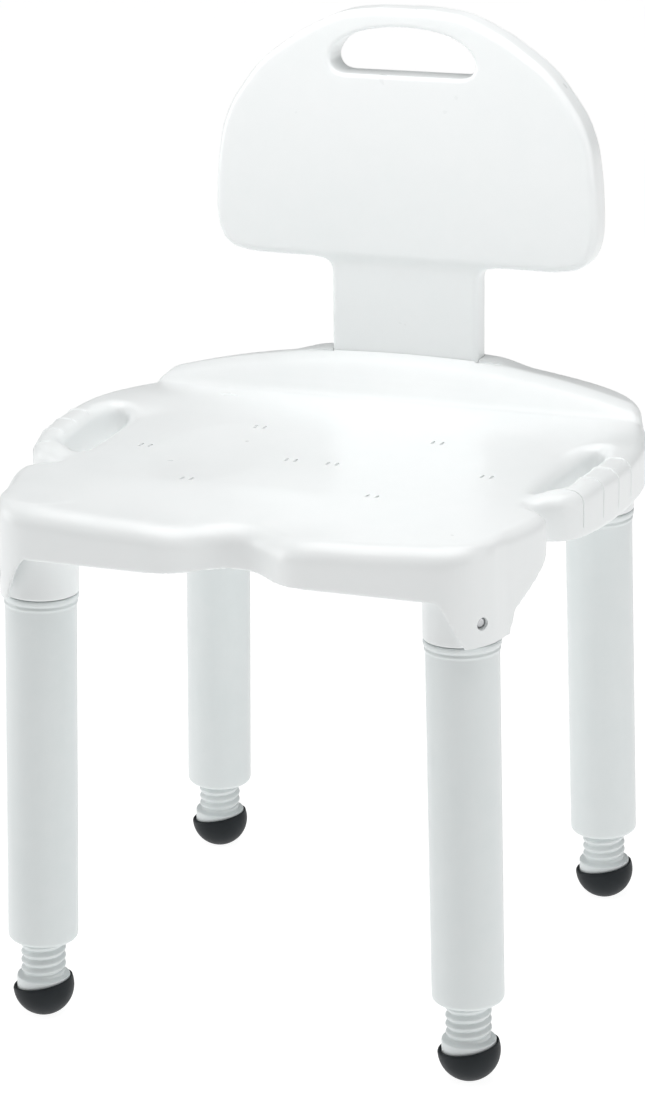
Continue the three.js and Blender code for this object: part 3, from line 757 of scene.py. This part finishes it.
def build_leg_tube(corner):
    """A leg's tube, with its spigot, collar, bead and rounded lower end."""
    inner = TUBE_RADIUS - 2.6
    end = -TUBE_LENGTH
    spigot_bore = SPIGOT_RADIUS - 2.7
    spigot = [
        (spigot_bore, SPIGOT_LENGTH - 0.5),
        (SPIGOT_RADIUS - 0.8, SPIGOT_LENGTH),
        (SPIGOT_RADIUS, SPIGOT_LENGTH - 1),
        (SPIGOT_RADIUS, -0.2),
    ]
    collar = [
        (SOCKET_RADIUS - 1.4, -0.25),
        *arc(SOCKET_RADIUS - 1.2, -1.45, 1.2, 80, 0, 5),
        (SOCKET_RADIUS, -3.4),
        (SOCKET_RADIUS - 0.5, -4.3),
        (TUBE_RADIUS + 0.3, -4.9),
        (TUBE_RADIUS, -5.4),
    ]
    bead = [(TUBE_RADIUS + swell, z) for swell, z in (
        (0, -6.0), (0.55, -6.7), (0.8, -7.5), (0.55, -8.3), (0, -9.0))]
    lower_end = [
        (TUBE_RADIUS, -10),
        (TUBE_RADIUS, end + 14),
        *arc(TUBE_RADIUS - 4.2, end + 4.2, 4.2, 0, -84, 9),
        (inner - 1.4, end),
        (inner - 1.6, end + 0.3),
        (inner - 1.6, end + 1.5),
        (inner, end + 1.6),
    ]
    bore = [(inner, -12), (spigot_bore, -6)]
    profile = spigot + collar + bead + lower_end + bore
    tube = revolved(corner + "_leg_tube_looks", profile, 96, closed_profile=True, matrix=leg_frame(corner))
    hole = [(0.01, 15), (4.2, 15), (4.2, 34), (0.01, 34)]
    return carved(tube, revolved("button_hole", hole, 32, matrix=button_frame(corner)))


def build_extension(corner):
    """The screwed rod on its flange, with a right-hand round thread."""
    floor = -(leg_frame(corner).translation.z / leg_frame(corner).col[2].z)
    around = 72
    turn = np.linspace(0, 2 * math.pi, around, endpoint=False)
    foot = [
        (0.01, FLANGE_BOTTOM),
        (FLANGE_RADIUS - 1, FLANGE_BOTTOM),
        *arc(FLANGE_RADIUS - 1, FLANGE_BOTTOM + 1, 1, -80, 0, 4),
        *arc(FLANGE_RADIUS - 1.4, 31.4, 1.4, 0, 75, 6),
        (17.2, 33.4),
        (16.2, 34.2),
    ]
    rings = [ring(r, z, around) for r, z in foot]
    top = ROD_BOTTOM + THREAD_LENGTH
    height = 34.8
    while height < top - 1.5:
        phase = 2 * math.pi * height / PITCH - turn
        crest = (0.5 + 0.5 * np.cos(phase)) ** 0.62
        fade = min(1, (height - 34.0) / 3)
        radius = (ROOT_RADIUS + THREAD_DEPTH * crest) * fade + 16.0 * (1 - fade)
        rings.append(ring(radius, height, around))
        height += PITCH / PITCH_STEPS
    end = [(ROOT_RADIUS - 0.6, top - 0.6), (ROOT_RADIUS - 2, top), (0.01, top)]
    rings += [ring(r, z, around) for r, z in end]
    place = leg_frame(corner) @ Matrix.Translation((0, 0, floor))
    return mesh_from_rings(corner + "_leg_extension_looks", rings, matrix=place)


def build_tip(corner):
    """A rubber tip: a bowl with its rim cut at a slight lean, round a pocket for the flange."""
    around = 72
    turn = np.linspace(0, 2 * math.pi, around, endpoint=False)
    rim = TIP_RIM + TIP_RADIUS * np.cos(turn) * math.tan(TIP_LEAN)
    pocket = FLANGE_RADIUS + 0.6
    rings = [ring(0.01, 0, around), ring(5.5, 0, around)]
    first = math.atan2(-TIP_CENTRE, math.sqrt(TIP_RADIUS ** 2 - TIP_CENTRE ** 2)) + 0.02
    last = np.arcsin(np.clip((rim - 1.4 - TIP_CENTRE) / TIP_RADIUS, -1, 1))
    for share in np.linspace(0, 1, 22):
        angle = first + (last - first) * share
        radius = TIP_RADIUS * np.cos(angle)
        rings.append(ring(radius, TIP_CENTRE + TIP_RADIUS * np.sin(angle), around))
    outer_radius = TIP_RADIUS * np.cos(last)
    for share, drop in ((0.12, 0.5), (0.3, 0.1), (0.7, 0.0), (0.9, 0.15), (1.0, 0.8)):
        radius = outer_radius + (pocket - outer_radius) * share
        leaning = TIP_RIM + radius * np.cos(turn) * math.tan(TIP_LEAN) - drop
        rings.append(ring(radius, leaning, around))
    rings += [ring(pocket, 18.6, around), ring(0.01, 18.6, around)]
    foot = Vector(JOINTS[corner + "_screw_turn"]["pos_m"]) / MM
    return mesh_from_rings(corner + "_foot_tip_looks", rings, matrix=Matrix.Translation((foot.x, foot.y, 0)))


def build_button(corner):
    """A snap button: a flange inside the tube, a stem and a domed end."""
    profile = [
        (0.01, 18.7),
        (5.9, 18.7),
        (5.9, 20.2),
        (3.9, 20.2),
        (3.9, 28.0),
        *arc(2.5, 28.0, 1.4, 0, 90, 6),
        (0.01, 29.4),
    ]
    return revolved(corner + "_snap_button_looks", profile, 40, matrix=button_frame(corner))


# ---------------------------------------------------------------- the object

shown("seat_shell_looks", build_seat(), "seat", "white_plastic", "seat_shell", sharp=45)
shown("backrest_looks", build_backrest(), "backrest", "white_plastic", "backrest", sharp=60)
for corner in CORNERS:
    tube, extension = corner + "_leg_tube", corner + "_leg_extension"
    tip, button = corner + "_foot_tip", corner + "_snap_button"
    shown(tube + "_looks", build_leg_tube(corner), "seat", "leg_plastic", tube)
    shown(extension + "_looks", build_extension(corner), corner + "_screw", "screw_plastic", extension,
          sharp=70)
    shown(tip + "_looks", build_tip(corner), corner + "_tip", "black_rubber", tip, sharp=50)
    shown(button + "_looks", build_button(corner), corner + "_button", "spring_steel", button)
    for node, slot in (("_threaded_bush", "screw_plastic"), ("_button_spring", "spring_steel")):
        kept = frame["nodes"][corner + node]
        kept.data.materials.clear()
        kept.data.materials.append(MATERIALS[slot])


# ---------------------------------------------------------------- stage, light and camera

def stage_material():
    def build(nodes, links, shader):
        place = nodes.new("ShaderNodeTexCoord").outputs["Object"]
        cloud = noise(nodes, links, place, 2, 3)
        base = mixed(nodes, links, spread(nodes, links, cloud, 0, 1), (0.31, 0.31, 0.31), (0.30, 0.30, 0.30))
        links.new(base, shader.inputs["Base Color"])
        shader.inputs["Roughness"].default_value = 0.8
        shader.inputs["Emission Color"].default_value = (1, 1, 1, 1)
        shader.inputs["Emission Strength"].default_value = 0.93
    return material("pale_floor", build)


floor_mesh = bpy.data.meshes.new("floor")
floor_mesh.from_pydata([(-8, -8, 0), (8, -8, 0), (8, 8, 0), (-8, 8, 0)], [], [(0, 1, 2, 3)])
floor_mesh.materials.append(stage_material())
floor = bpy.data.objects.new("floor", floor_mesh)
bpy.context.scene.collection.objects.link(floor)

world = bpy.data.worlds.new("studio")
bpy.context.scene.world = world
world.use_nodes = True
world.node_tree.nodes["Background"].inputs["Color"].default_value = (1, 1, 1, 1)
world.node_tree.nodes["Background"].inputs["Strength"].default_value = 0.2


def area_light(name, place, target, size, power):
    data = bpy.data.lights.new(name, "AREA")
    data.shape, data.size, data.energy = "SQUARE", size, power
    light = bpy.data.objects.new(name, data)
    bpy.context.scene.collection.objects.link(light)
    light.location = place
    light.rotation_euler = (Vector(target) - Vector(place)).to_track_quat("-Z", "Y").to_euler()


area_light("key", (0.03, -0.15, 1.48), (0.02, 0.02, 0.43), 1.1, 12)
area_light("left_fill", (-2.5, -0.5, 0.9), (0, 0, 0.3), 1.5, 18)
area_light("right_fill", (2.6, -0.3, 0.9), (0, 0, 0.3), 1.5, 11)

AZIMUTH, ELEVATION, ROLL = (math.radians(a) for a in (20.7576, 17.6535, -0.6932))
LENS, SENSOR = 190.6, 36.0

back = Vector((math.sin(AZIMUTH) * math.cos(ELEVATION), -math.cos(AZIMUTH) * math.cos(ELEVATION),
               math.sin(ELEVATION)))
right = (-back).cross(Vector((0, 0, 1))).normalized()
up = right.cross(-back)
across = math.cos(ROLL) * right + math.sin(ROLL) * up
upright = math.cos(ROLL) * up - math.sin(ROLL) * right
camera_data = bpy.data.cameras.new("camera")
camera_data.sensor_fit, camera_data.sensor_width, camera_data.lens = "HORIZONTAL", SENSOR, LENS
camera = bpy.data.objects.new("camera", camera_data)
bpy.context.scene.collection.objects.link(camera)
camera.matrix_world = Matrix.Translation((0.9052, -2.3997, 1.1616)) @ Matrix(
    (across, upright, back)).transposed().to_4x4()
bpy.context.scene.camera = camera
bpy.context.scene.view_settings.view_transform = "Standard"
